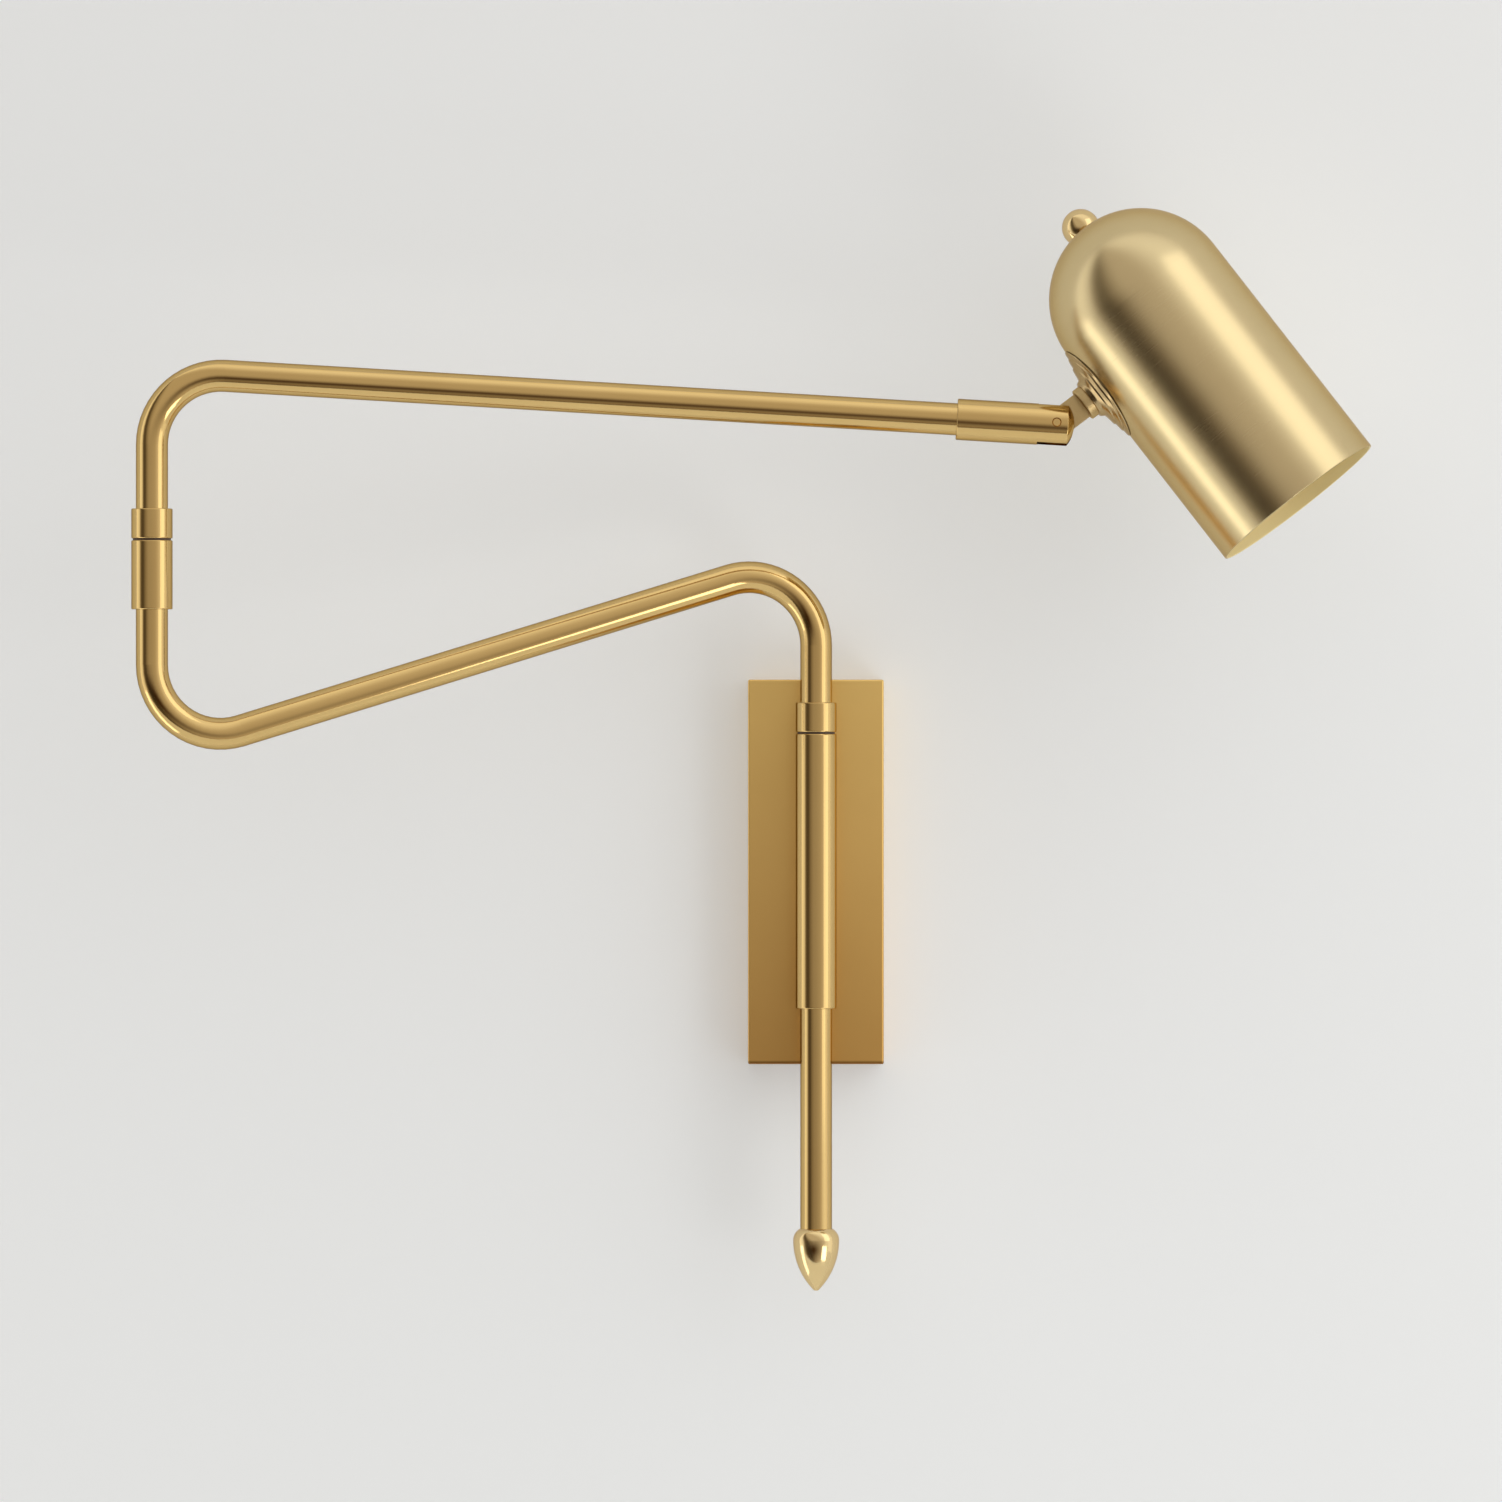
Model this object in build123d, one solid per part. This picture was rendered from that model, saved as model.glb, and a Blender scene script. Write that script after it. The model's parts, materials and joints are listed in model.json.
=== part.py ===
from build123d import *
import os
from math import acos, asin, atan2, cos, degrees, radians, sin, sqrt, tan

# An adjustable wall lamp in satin brass, in millimetres.
# Origin: centre of the wall box's back, on the wall. +X right, +Y into the wall, +Z up.

# Fits, as clearances on the radius or between two faces
RUNNING = 0.05
FIXED = 0.02
FREE = 0.3

# Wall box
BOX_WIDTH = 60
BOX_HEIGHT = 170
BOX_DEPTH = 25
BOX_WALL = 1.2
BOX_EDGE = 0.8

# Wall plate: a strap with its two ends bent forward inside the box
PLATE_WIDTH = 44
PLATE_THICKNESS = 2
PLATE_TAB = 14
PLATE_BEND = 1.5
WALL_SCREW_HOLE = 5.2
WALL_SCREW_SPACING = 100
CABLE_HOLE = 14

# Screws that hold the box on the plate's ends
COVER_SCREW = 4
COVER_SCREW_LENGTH = 7
COVER_SCREW_HEAD = 7
COVER_SCREW_HEAD_HEIGHT = 2.2
COVER_SCREW_SLOT = 1
COVER_SCREW_DEPTH = 8

# Stiffener behind the box front
BACKING_THICKNESS = 2.5
BACKING_MARGIN = 4

# Mains terminals and the earth screw, on the wall plate
TERMINAL_POLES = 3
TERMINAL_PITCH = 9
TERMINAL_LENGTH = 16
TERMINAL_HEIGHT = 9
TERMINAL_TOWER = 3
TERMINAL_BORE = 3
TERMINAL_OFFSET = 21
EARTH_SCREW = 4
EARTH_SCREW_HEAD = 8
EARTH_SCREW_HEAD_HEIGHT = 2
EARTH_SCREW_X = 15
EARTH_SCREW_Z = 24

# Swivel column in front of the box
COLUMN_REACH = 41
SLEEVE_DIAMETER = 18
SLEEVE_LENGTH = 121
SLEEVE_BOTTOM = -60
SLEEVE_SOFT = 0.5
POST_DIAMETER = 12
POST_SPACING = 76
POST_STUD = 8
POST_BORE = 4.4
POST_NUT_ACROSS = 13
POST_NUT_HEIGHT = 5
POST_WASHER = 17
POST_WASHER_THICKNESS = 1.6
STUD_PROUD = 1.5
STOP_TIP = 6
STOP_ENGAGEMENT = 1.2
SHOULDER_TO_WALL = 10
SHOULDER_OUT = 168
STOP_SPARE = 2

# Bent tubes
TUBE_DIAMETER = 14
TUBE_WALL = 1.5
BEND_RADIUS = 30
LEAD_DIAMETER = 5
LEAD_CLEARANCE = 0.2

# Lower arm, with its stem in the sleeve
WASHER_THICKNESS = 0.8
WASHER_INSET = 0.7
COLLAR_HEIGHT = 13
STEM_TAIL = 97
STEM_CORNER = 140.4
LOWER_REACH = 295
LOWER_FALL = 90
REST_SWING = 11.5
GRUB_SCREW = 3
GRUB_SOCKET = 1.5
GRUB_RECESS = 0.4

# Finial under the stem
FINIAL_LENGTH = 27.2
FINIAL_DIAMETER = 20.4
FINIAL_NECK = 14.8
FINIAL_SHOULDER = 5
FINIAL_TIP = 1.8
FINIAL_TIP_SOFT = 0.8
FINIAL_SPIGOT = 12

# Elbow
ELBOW_SLEEVE_RISE = 64.6
ELBOW_SLEEVE_LENGTH = 30
ELBOW_RING_HEIGHT = 13
ELBOW_GRIP = 13
SPIGOT_SHANK = 14
SPIGOT_FLANGE = 2
SPIGOT_PROUD = 3
GROOVE_DEPTH = 1.1
GROOVE_SPARE = 0.4

# Upper arm
UPPER_RISE = 168
UPPER_REACH = 393
UPPER_DROOP = 3.4

# Ferrule with its fork, at the upper arm's end
FERRULE_DIAMETER = 18
FERRULE_TAIL = 43.3
FERRULE_NOSE = 8.2
FERRULE_NOSE_ROUND = 3.2
FERRULE_SOFT = 0.5
FERRULE_CABLE_HOLE = 5
TUBE_TO_PIN = 25
JOURNAL_LENGTH = 9
FORK_DEPTH = 8
PIN_DIAMETER = 4
PIN_LENGTH = 17
PIN_SOFT = 0.4
HINGE_WASHER = 11
HINGE_WASHER_THICKNESS = 0.6
REST_ROLL = -7
REST_TILT = 40.8

# Knuckle and pivot on the shade's side
PIVOT_REACH = 23
PIVOT_OFFSET = 21.3
TONGUE_WIDTH = 11.4
TONGUE_THICKNESS = 5.6
BOSS_DIAMETER = 15
BOSS_HEIGHT = 3.6
BOSS_SOFT = 0.6
KNUCKLE_STUD = 8
KNUCKLE_BORE = 4
KNUCKLE_SIDE_HOLE = 2.6
DISH_LENGTH = 46
DISH_WIDTH = 28
DISH_HEIGHT = 5
DISH_WALL = 1.2
DISH_LIP = 1.8
DISH_FLAT = 18
DISH_SOFT = 1.5
SADDLE_DIAMETER = 16
INNER_SADDLE_DIAMETER = 18
INNER_SADDLE_HEIGHT = 3
PIVOT_NUT_ACROSS = 13
PIVOT_NUT_HEIGHT = 5

# Shade
SHADE_DIAMETER = 80
SHADE_WALL = 1
SHADE_STRAIGHT = 112
RIM_SOFT = 0.35

# Lampholder and bulb
STRAP_WIDTH = 14
STRAP_THICKNESS = 1.5
STRAP_BEND = 2
STRAP_END = 10
HOLDER_TOP = 8
HOLDER_LENGTH = 46
HOLDER_DIAMETER = 27
HOLDER_CAP_DIAMETER = 19
HOLDER_CAP_HEIGHT = 7
HOLDER_SKIRT = 9
HOLDER_SKIRT_STEP = 1
HOLDER_SOCKET = 24
HOLDER_WIRE_HOLE = 4
NIPPLE_DIAMETER = 10
NIPPLE_WALL = 1.5
NIPPLE_DEPTH = 7
HOLDER_NUT_ACROSS = 14
HOLDER_NUT_HEIGHT = 4
BULB_CAP_DIAMETER = 13.8
BULB_CAP_PROUD = 3
BULB_CONTACT_DIAMETER = 6
BULB_CONTACT_HEIGHT = 2.5
BULB_NECK_DIAMETER = 13
BULB_GLOBE_DIAMETER = 45
BULB_CENTRE_DEPTH = 66
BULB_WALL = 0.8

# Switch in the dome
KNOB_LEAN = 31
KNOB_BEARING = -5
KNOB_DIAMETER = 16.6
KNOB_NECK_DIAMETER = 8.4
KNOB_NECK_HEIGHT = 2
SWITCH_DIAMETER = 16
SWITCH_LENGTH = 14
SWITCH_BUSH_DIAMETER = 9
SWITCH_NUT_DIAMETER = 13
SWITCH_NUT_HEIGHT = 2
SPINDLE_DIAMETER = 5
SPINDLE_ENGAGEMENT = 7
SPINDLE_DEPTH = 9

# Worked-out sizes
TUBE_RADIUS = TUBE_DIAMETER / 2
TUBE_BORE = TUBE_RADIUS - TUBE_WALL
SLEEVE_RADIUS = SLEEVE_DIAMETER / 2
SLEEVE_BORE = TUBE_RADIUS + RUNNING
SLEEVE_TOP = SLEEVE_BOTTOM + SLEEVE_LENGTH
COLLAR_BOTTOM = SLEEVE_TOP + WASHER_THICKNESS
STEM_END = SLEEVE_BOTTOM - STEM_TAIL
POST_HEIGHTS = (POST_SPACING / 2, -POST_SPACING / 2)
BOX_INSIDE = BOX_DEPTH - BOX_WALL
BACKING_FACE = BOX_INSIDE - BACKING_THICKNESS
PLATE_HALF = BOX_HEIGHT / 2 - BOX_WALL - FREE
ELBOW_X = -LOWER_REACH * cos(radians(REST_SWING))
ELBOW_Y = -COLUMN_REACH - LOWER_REACH * sin(radians(REST_SWING))
ELBOW_CORNER = STEM_CORNER - LOWER_FALL
ELBOW_SLEEVE_BOTTOM = ELBOW_CORNER + ELBOW_SLEEVE_RISE
ELBOW_SLEEVE_TOP = ELBOW_SLEEVE_BOTTOM + ELBOW_SLEEVE_LENGTH
ELBOW_RING_BOTTOM = ELBOW_SLEEVE_TOP + WASHER_THICKNESS
ELBOW_RING_TOP = ELBOW_RING_BOTTOM + ELBOW_RING_HEIGHT
LOWER_TUBE_END = ELBOW_SLEEVE_BOTTOM + ELBOW_GRIP
SPIGOT_SHOULDER = LOWER_TUBE_END + SPIGOT_FLANGE
UPPER_TUBE_START = SPIGOT_SHOULDER + FREE
SPIGOT_TOP = ELBOW_RING_TOP + SPIGOT_PROUD
UPPER_CORNER = ELBOW_CORNER + UPPER_RISE
GRUB_RADIUS = GRUB_SCREW / 2
GROOVE_WIDTH = GRUB_SCREW + GROOVE_SPARE
LEAD_RADIUS = LEAD_DIAMETER / 2
LEAD_BORE = LEAD_RADIUS + LEAD_CLEARANCE
PIN_X = ELBOW_X + UPPER_REACH
PIN_Z = UPPER_CORNER - UPPER_REACH * tan(radians(UPPER_DROOP))
FERRULE_RADIUS = FERRULE_DIAMETER / 2
PIN_RADIUS = PIN_DIAMETER / 2
JOURNAL_END = JOURNAL_LENGTH - TUBE_TO_PIN
FERRULE_BORE_END = JOURNAL_END + FREE
FORK_SLOT = TONGUE_THICKNESS + 2 * (HINGE_WASHER_THICKNESS + RUNNING)
SHADE_RADIUS = SHADE_DIAMETER / 2
SHADE_INSIDE = SHADE_RADIUS - SHADE_WALL
DISH_RIM = PIVOT_REACH - FIXED
DISH_TOP = DISH_RIM - DISH_HEIGHT
BOSS_BOTTOM = DISH_TOP - BOSS_HEIGHT
SADDLE_FACE = PIVOT_REACH + SHADE_WALL + INNER_SADDLE_HEIGHT
PIVOT_NUT_FACE = SADDLE_FACE + STRAP_THICKNESS
STUD_END = PIVOT_NUT_FACE + PIVOT_NUT_HEIGHT + STUD_PROUD
STUD_RADIUS = KNUCKLE_STUD / 2
STRAP_TOP = HOLDER_TOP + STRAP_THICKNESS
HOLDER_BOTTOM = HOLDER_TOP - HOLDER_LENGTH
SOCKET_FLOOR = HOLDER_BOTTOM + HOLDER_SOCKET
BULB_CAP_BOTTOM = HOLDER_BOTTOM - BULB_CAP_PROUD
SWITCH_FACE = sqrt(SHADE_INSIDE**2 - (SWITCH_DIAMETER / 2) ** 2) - FIXED
SWITCH_NUT_TOP = SHADE_RADIUS + SWITCH_NUT_HEIGHT
KNOB_FOOT = SWITCH_NUT_TOP + FREE
KNOB_CENTRE = KNOB_FOOT + KNOB_NECK_HEIGHT + sqrt((KNOB_DIAMETER / 2) ** 2 - (KNOB_NECK_DIAMETER / 2) ** 2)
SPINDLE_TOP = KNOB_FOOT + SPINDLE_ENGAGEMENT
SPINDLE_BOTTOM = SWITCH_FACE - SPINDLE_DEPTH

# Places: the column and the elbow are upright, and distances from the wall run along -Y
COLUMN = Pos(0, -COLUMN_REACH, 0)
ELBOW = Pos(ELBOW_X, ELBOW_Y, 0)
FROM_WALL = Rot(90, 0, 0)

# Bearings about an upright axis
TO_WALL = 90
TO_LEFT = 180

# In the arm, fork and knuckle frames Z runs out along the piece from the hinge pin, and Y is the pin
ALONG = Rot(0, 90, 0)
ARM_END = Pos(PIN_X, ELBOW_Y, PIN_Z) * Rot(0, UPPER_DROOP, 0)
FORK_TURN = ARM_END * Rot(REST_ROLL, 0, 0)
HEAD_TURN = FORK_TURN * Rot(0, -REST_TILT, 0)
ARM = ARM_END * ALONG
FORK = FORK_TURN * ALONG
KNUCKLE = HEAD_TURN * ALONG

# In the shade's frame the origin is the dome's centre, +Z the apex, and the knuckle is on the -X side
SHADE = HEAD_TURN * Pos(PIVOT_REACH + SHADE_RADIUS, 0, PIVOT_OFFSET)
SWITCH_TURN = Rot(0, 0, KNOB_BEARING) * Rot(-KNOB_LEAN, 0, 0)
SWITCH = SHADE * SWITCH_TURN


def rod(radius, low, high):
    """A cylinder on the Z axis between two heights."""
    return Pos(0, 0, low) * Cylinder(radius, high - low, align=(Align.CENTER, Align.CENTER, Align.MIN))


def pipe(outer, inner, low, high):
    """A tube on the Z axis between two heights."""
    return rod(outer, low, high) - rod(inner, low, high)


def soft_pipe(outer, inner, low, high, soft):
    """A tube with its two outer end edges rounded."""
    body = pipe(outer, inner, low, high)
    rims = body.edges().filter_by(GeomType.CIRCLE).group_by(SortBy.RADIUS)[-1]
    return fillet(rims, soft)


def cross_rod(radius, reach):
    """A cylinder through the origin along Y, reaching the same way on both sides."""
    return Rot(90, 0, 0) * rod(radius, -reach, reach)


def spoke(radius, inner, outer, bearing, height):
    """A cylinder that runs out from the Z axis at a bearing and height."""
    return Pos(0, 0, height) * Rot(0, 0, bearing) * Rot(0, 90, 0) * rod(radius, inner, outer)


def turned(*edges):
    """A solid of revolution about Z, from a profile drawn as (radius, height)."""
    return revolve(Plane.XZ * make_face(edges), axis=Axis.Z)


def hexagon(across, low, high):
    """A hexagonal prism on the Z axis between two heights."""
    face = RegularPolygon(across / 2, 6, major_radius=False)
    return Pos(0, 0, low) * extrude(face, amount=high - low)


def swept(points, radius):
    """A round bar along straight runs with bends between them."""
    path = FilletPolyline(*points, radius=BEND_RADIUS)
    return sweep(Plane(origin=path @ 0, z_dir=path % 0) * Circle(radius), path=path)


def grub_screw(inner, outer, bearing, height):
    """A socket grub screw that runs out from the Z axis."""
    body = rod(GRUB_RADIUS - FIXED, inner, outer)
    socket = hexagon(GRUB_SOCKET, outer - (outer - inner) / 2, outer)
    return Pos(0, 0, height) * Rot(0, 0, bearing) * Rot(0, 90, 0) * (body - socket)


# Wall bracket


def wall_plate():
    outline = Polyline(
        (0, -PLATE_HALF),
        (-PLATE_TAB, -PLATE_HALF),
        (-PLATE_TAB, PLATE_THICKNESS - PLATE_HALF),
        (-PLATE_THICKNESS, PLATE_THICKNESS - PLATE_HALF),
        (-PLATE_THICKNESS, PLATE_HALF - PLATE_THICKNESS),
        (-PLATE_TAB, PLATE_HALF - PLATE_THICKNESS),
        (-PLATE_TAB, PLATE_HALF),
        (0, PLATE_HALF),
        close=True,
    )
    section = make_face(outline)
    section = fillet(section.vertices().group_by(Axis.X)[-2], PLATE_BEND)
    section = fillet(section.vertices().group_by(Axis.X)[-1], PLATE_BEND + PLATE_THICKNESS)
    plate = extrude(Plane.YZ * section, amount=PLATE_WIDTH / 2, both=True)
    for height in (WALL_SCREW_SPACING / 2, -WALL_SCREW_SPACING / 2):
        plate -= Pos(0, 0, height) * cross_rod(WALL_SCREW_HOLE / 2, PLATE_TAB)
    plate -= cross_rod(CABLE_HOLE / 2, PLATE_TAB)
    plate -= Pos(EARTH_SCREW_X, 0, EARTH_SCREW_Z) * cross_rod(EARTH_SCREW / 2 + FIXED, PLATE_TAB)
    plate -= Pos(0, -COVER_SCREW_DEPTH, 0) * rod(COVER_SCREW / 2 + FIXED, -BOX_HEIGHT, BOX_HEIGHT)
    return plate


def box_cover():
    shell = Pos(0, -BOX_DEPTH / 2, 0) * Box(BOX_WIDTH, BOX_DEPTH, BOX_HEIGHT)
    back_rim = shell.edges().group_by(Axis.Y)[-1]
    shell = fillet(shell.edges() - back_rim, BOX_EDGE)
    shell -= Pos(0, -BOX_INSIDE / 2, 0) * Box(BOX_WIDTH - 2 * BOX_WALL, BOX_INSIDE, BOX_HEIGHT - 2 * BOX_WALL)
    for height in POST_HEIGHTS:
        shell -= Pos(0, 0, height) * cross_rod(POST_STUD / 2 + FIXED, BOX_DEPTH + BOX_WALL)
    shell -= Pos(0, -COVER_SCREW_DEPTH, 0) * rod(COVER_SCREW / 2 + FREE / 2, -BOX_HEIGHT, BOX_HEIGHT)
    return shell


def cover_screws():
    head_low = BOX_HEIGHT / 2
    shank = rod(COVER_SCREW / 2, head_low - COVER_SCREW_LENGTH, head_low)
    head = rod(COVER_SCREW_HEAD / 2, head_low, head_low + COVER_SCREW_HEAD_HEIGHT)
    head = fillet(head.edges().group_by(Axis.Z)[-1], COVER_SCREW_HEAD_HEIGHT / 2)
    slot_depth = COVER_SCREW_HEAD_HEIGHT / 2
    head_high = head_low + COVER_SCREW_HEAD_HEIGHT
    slot = Pos(0, 0, head_high) * Box(COVER_SCREW_HEAD, COVER_SCREW_SLOT, 2 * slot_depth)
    screw = shank + head - slot
    place = Pos(0, -COVER_SCREW_DEPTH, 0)
    return Compound([place * screw, place * Rot(180, 0, 0) * screw])


def backing_plate():
    width = BOX_WIDTH - 2 * (BOX_WALL + BACKING_MARGIN)
    height = BOX_HEIGHT - 2 * (BOX_WALL + BACKING_MARGIN)
    plate = Pos(0, BACKING_THICKNESS / 2 - BOX_INSIDE, 0) * Box(width, BACKING_THICKNESS, height)
    for post in POST_HEIGHTS:
        plate -= Pos(0, 0, post) * cross_rod(POST_STUD / 2 + FIXED, BOX_DEPTH)
    return plate


def post_body():
    """A post between the box front and the sleeve, saddled to the sleeve, with its stud inside the box."""
    stud_end = BACKING_FACE - POST_WASHER_THICKNESS - POST_NUT_HEIGHT - STUD_PROUD
    spacer = rod(POST_DIAMETER / 2, BOX_DEPTH, COLUMN_REACH)
    sleeve = Pos(0, 0, COLUMN_REACH) * cross_rod(SLEEVE_RADIUS + FIXED, POST_DIAMETER)
    return spacer - sleeve + rod(POST_STUD / 2, stud_end, BOX_DEPTH)


def upper_post():
    tip_end = COLUMN_REACH - TUBE_RADIUS + STOP_ENGAGEMENT
    tip = rod(STOP_TIP / 2, BOX_DEPTH, tip_end)
    post = post_body() + tip - rod(POST_BORE / 2, 0, COLUMN_REACH)
    return Pos(0, 0, POST_HEIGHTS[0]) * FROM_WALL * post


def lower_post():
    return Pos(0, 0, POST_HEIGHTS[1]) * FROM_WALL * post_body()


def post_washers():
    low = BACKING_FACE - POST_WASHER_THICKNESS
    washer = FROM_WALL * pipe(POST_WASHER / 2, POST_STUD / 2 + FIXED, low, BACKING_FACE)
    return Compound([Pos(0, 0, height) * washer for height in POST_HEIGHTS])


def post_nuts():
    high = BACKING_FACE - POST_WASHER_THICKNESS
    low = high - POST_NUT_HEIGHT
    nut = hexagon(POST_NUT_ACROSS, low, high) - rod(POST_STUD / 2 + FIXED, low, high)
    return Compound([Pos(0, 0, height) * FROM_WALL * nut for height in POST_HEIGHTS])


def swivel_sleeve():
    sleeve = soft_pipe(SLEEVE_RADIUS, SLEEVE_BORE, SLEEVE_BOTTOM, SLEEVE_TOP, SLEEVE_SOFT)
    sleeve -= spoke(STOP_TIP / 2 + FIXED, 0, SLEEVE_DIAMETER, TO_WALL, POST_HEIGHTS[0])
    return COLUMN * sleeve


def shoulder_washer():
    return COLUMN * pipe(SLEEVE_RADIUS - WASHER_INSET, TUBE_RADIUS + FREE, SLEEVE_TOP, COLLAR_BOTTOM)


def terminal_block():
    """A strip of screw terminals: one tower and one wire hole for each pole."""
    width = TERMINAL_POLES * TERMINAL_PITCH
    block = Pos(0, 0, TERMINAL_HEIGHT / 2) * Box(width, TERMINAL_LENGTH, TERMINAL_HEIGHT)
    for pole in range(TERMINAL_POLES):
        across = (pole - (TERMINAL_POLES - 1) / 2) * TERMINAL_PITCH
        for end in (-1, 1):
            along = end * TERMINAL_LENGTH / 4
            tower = pipe(TERMINAL_BORE, TERMINAL_BORE / 2, TERMINAL_HEIGHT, TERMINAL_HEIGHT + TERMINAL_TOWER)
            block += Pos(across, along, 0) * tower
        block -= Pos(across, 0, TERMINAL_HEIGHT / 2) * cross_rod(TERMINAL_BORE / 2, TERMINAL_LENGTH)
    return Pos(0, 0, -TERMINAL_OFFSET) * FROM_WALL * Pos(0, 0, PLATE_THICKNESS) * block


def earth_screw():
    head = rod(EARTH_SCREW_HEAD / 2, PLATE_THICKNESS, PLATE_THICKNESS + EARTH_SCREW_HEAD_HEIGHT)
    head = fillet(head.edges().group_by(Axis.Z)[-1], EARTH_SCREW_HEAD_HEIGHT / 2)
    screw = head + rod(EARTH_SCREW / 2, 0, PLATE_THICKNESS)
    return Pos(EARTH_SCREW_X, 0, EARTH_SCREW_Z) * FROM_WALL * screw


# Lower arm


def lower_route(low, high):
    """The lower arm's centre line, from a height on the stem to a height at the elbow."""
    return (
        (0, -COLUMN_REACH, low),
        (0, -COLUMN_REACH, STEM_CORNER),
        (ELBOW_X, ELBOW_Y, ELBOW_CORNER),
        (ELBOW_X, ELBOW_Y, high),
    )


def stop_slot():
    """The slot in the stem that the upper post's tip stands in: it lets the stem swing and holds it down."""
    half_tip = degrees(asin(STOP_TIP / 2 / TUBE_BORE)) + STOP_SPARE
    start = TO_WALL - SHOULDER_OUT - half_tip
    span = SHOULDER_OUT + SHOULDER_TO_WALL + 2 * half_tip
    section = Pos(TUBE_RADIUS, 0) * Rectangle(2 * (TUBE_WALL + FREE), STOP_TIP + 2 * FREE)
    ring = revolve(Plane.XZ * section, axis=Axis.Z, revolution_arc=span)
    return Pos(0, 0, POST_HEIGHTS[0]) * Rot(0, 0, start) * ring


def lower_arm_tube():
    route = lower_route(STEM_END, LOWER_TUBE_END)
    tube = swept(route, TUBE_RADIUS) - swept(route, TUBE_BORE)
    return tube - COLUMN * stop_slot()


def stem_collar():
    high = COLLAR_BOTTOM + COLLAR_HEIGHT
    collar = soft_pipe(SLEEVE_RADIUS, TUBE_RADIUS + FIXED, COLLAR_BOTTOM, high, SLEEVE_SOFT)
    collar -= spoke(GRUB_RADIUS, 0, SLEEVE_DIAMETER, TO_WALL, (COLLAR_BOTTOM + high) / 2)
    return COLUMN * collar


def collar_screw():
    height = COLLAR_BOTTOM + COLLAR_HEIGHT / 2
    return COLUMN * grub_screw(TUBE_RADIUS + FIXED, SLEEVE_RADIUS - GRUB_RECESS, TO_WALL, height)


def finial():
    wide = FINIAL_DIAMETER / 2
    shoulder = -FINIAL_SHOULDER
    shoulder_arc = TangentArc((wide, shoulder), (FINIAL_NECK / 2, 0), tangent=(0, 1))
    ogive = TangentArc((wide, shoulder), (FINIAL_TIP / 2, -FINIAL_LENGTH), tangent=(0, -1))
    tip = Line((FINIAL_TIP / 2, -FINIAL_LENGTH), (0, -FINIAL_LENGTH))
    axis = Line((0, -FINIAL_LENGTH), (0, 0))
    top = Line((0, 0), (FINIAL_NECK / 2, 0))
    body = turned(shoulder_arc, ogive, tip, axis, top)
    body = fillet(body.edges().group_by(Axis.Z)[0], FINIAL_TIP_SOFT)
    return COLUMN * Pos(0, 0, STEM_END) * (body + rod(TUBE_BORE - FIXED, 0, FINIAL_SPIGOT))


def elbow_sleeve():
    return ELBOW * soft_pipe(SLEEVE_RADIUS, SLEEVE_BORE, ELBOW_SLEEVE_BOTTOM, ELBOW_SLEEVE_TOP, SLEEVE_SOFT)


def elbow_washer():
    return ELBOW * pipe(SLEEVE_RADIUS - WASHER_INSET, TUBE_RADIUS + FREE, ELBOW_SLEEVE_TOP, ELBOW_RING_BOTTOM)


def elbow_spigot():
    """A hollow pivot in the lower tube: the upper tube turns on it, held down by a screw in its groove."""
    journal = TUBE_BORE - RUNNING
    groove = ELBOW_RING_BOTTOM + ELBOW_RING_HEIGHT / 2
    spigot = rod(TUBE_BORE - FIXED, LOWER_TUBE_END - SPIGOT_SHANK, LOWER_TUBE_END)
    spigot += rod(TUBE_RADIUS, LOWER_TUBE_END, SPIGOT_SHOULDER)
    spigot += rod(journal, SPIGOT_SHOULDER, SPIGOT_TOP)
    spigot -= pipe(TUBE_RADIUS, journal - GROOVE_DEPTH, groove - GROOVE_WIDTH / 2, groove + GROOVE_WIDTH / 2)
    return ELBOW * (spigot - rod(LEAD_BORE, LOWER_TUBE_END - SPIGOT_SHANK, SPIGOT_TOP))


def lower_lead():
    return swept(lower_route(POST_HEIGHTS[0], SPIGOT_TOP), LEAD_RADIUS)


# Upper arm


def upper_route(low, end):
    """The upper arm's centre line, from a height at the elbow to a distance along the arm from the pin."""
    arm_end = (ARM * Pos(0, 0, end)).position
    return (
        (ELBOW_X, ELBOW_Y, low),
        (ELBOW_X, ELBOW_Y, UPPER_CORNER),
        (arm_end.X, arm_end.Y, arm_end.Z),
    )


def upper_arm_tube():
    route = upper_route(UPPER_TUBE_START, -TUBE_TO_PIN)
    tube = swept(route, TUBE_RADIUS) - swept(route, TUBE_BORE)
    screw_height = ELBOW_RING_BOTTOM + ELBOW_RING_HEIGHT / 2
    return tube - ELBOW * spoke(GRUB_RADIUS, 0, SLEEVE_DIAMETER, TO_WALL, screw_height)


def elbow_ring():
    ring = soft_pipe(SLEEVE_RADIUS, TUBE_RADIUS + FIXED, ELBOW_RING_BOTTOM, ELBOW_RING_TOP, SLEEVE_SOFT)
    screw_height = ELBOW_RING_BOTTOM + ELBOW_RING_HEIGHT / 2
    return ELBOW * (ring - spoke(GRUB_RADIUS, 0, SLEEVE_DIAMETER, TO_WALL, screw_height))


def elbow_screw():
    tip = TUBE_BORE - RUNNING - GROOVE_DEPTH + FREE
    height = ELBOW_RING_BOTTOM + ELBOW_RING_HEIGHT / 2
    return ELBOW * grub_screw(tip, SLEEVE_RADIUS - GRUB_RECESS, TO_WALL, height)


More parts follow.
